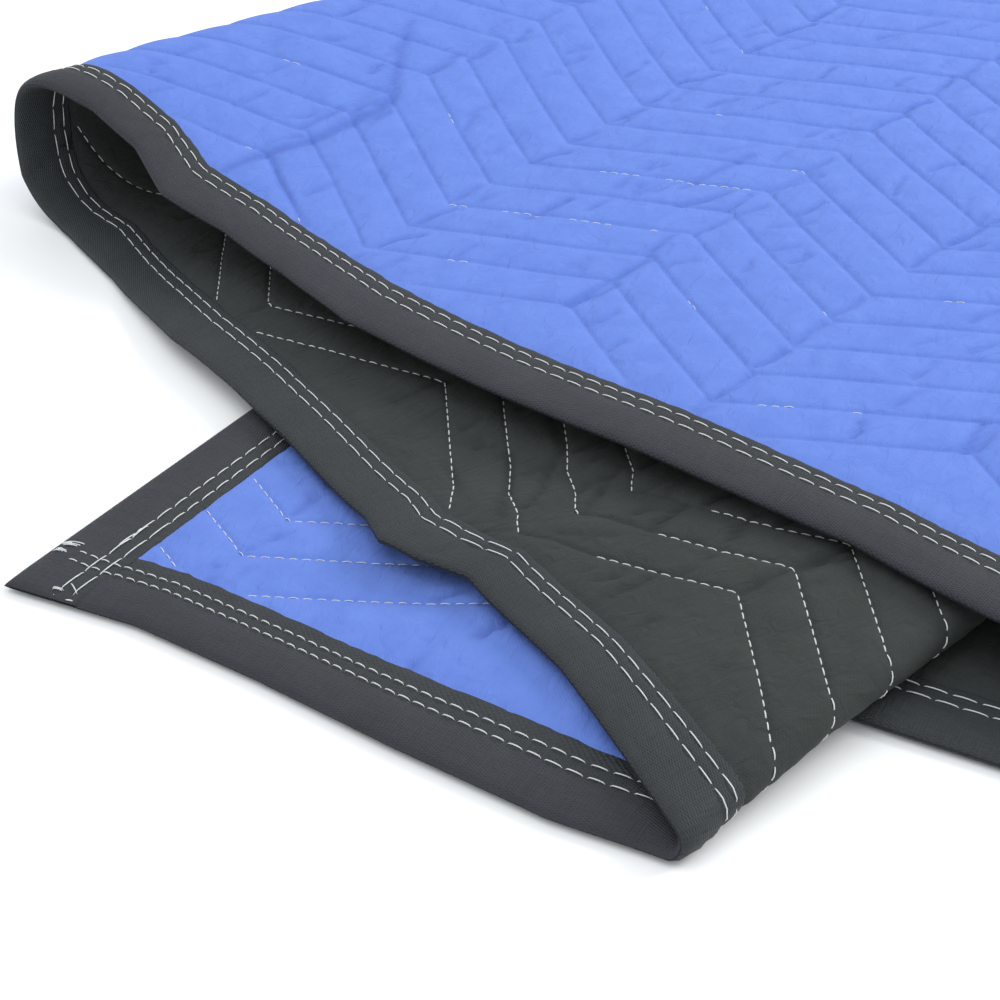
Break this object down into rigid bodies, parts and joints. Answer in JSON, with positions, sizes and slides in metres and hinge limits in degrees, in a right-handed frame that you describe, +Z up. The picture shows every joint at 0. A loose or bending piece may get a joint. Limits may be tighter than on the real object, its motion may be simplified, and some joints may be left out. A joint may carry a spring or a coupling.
{
  "type": "moving blanket",
  "caption": "Quilted moving blanket with a woven face and back, zigzag quilting and tape-bound edges, folded to and fro with one corner spread on the floor.",
  "frame": {"origin": "middle of the folded blanket's footprint, on the floor it lies on", "axes": "+X along the front edge of the top layer, +Y towards the back of the folded blanket, +Z up"},
  "size_m": [0.5662, 0.7538, 0.0548],
  "materials": {
    "face_cloth": "matt plain weave, blue",
    "back_cloth": "matt plain weave, black",
    "binding_tape": "fine woven tape with a slight sheen, black"
  },
  "bodies": {
    "root": {"face_panel": "face_cloth", "back_panel": "back_cloth", "front_binding": "binding_tape", "back_binding": "binding_tape", "left_binding": "binding_tape", "right_binding": "binding_tape"}
  },
  "joints": []
}
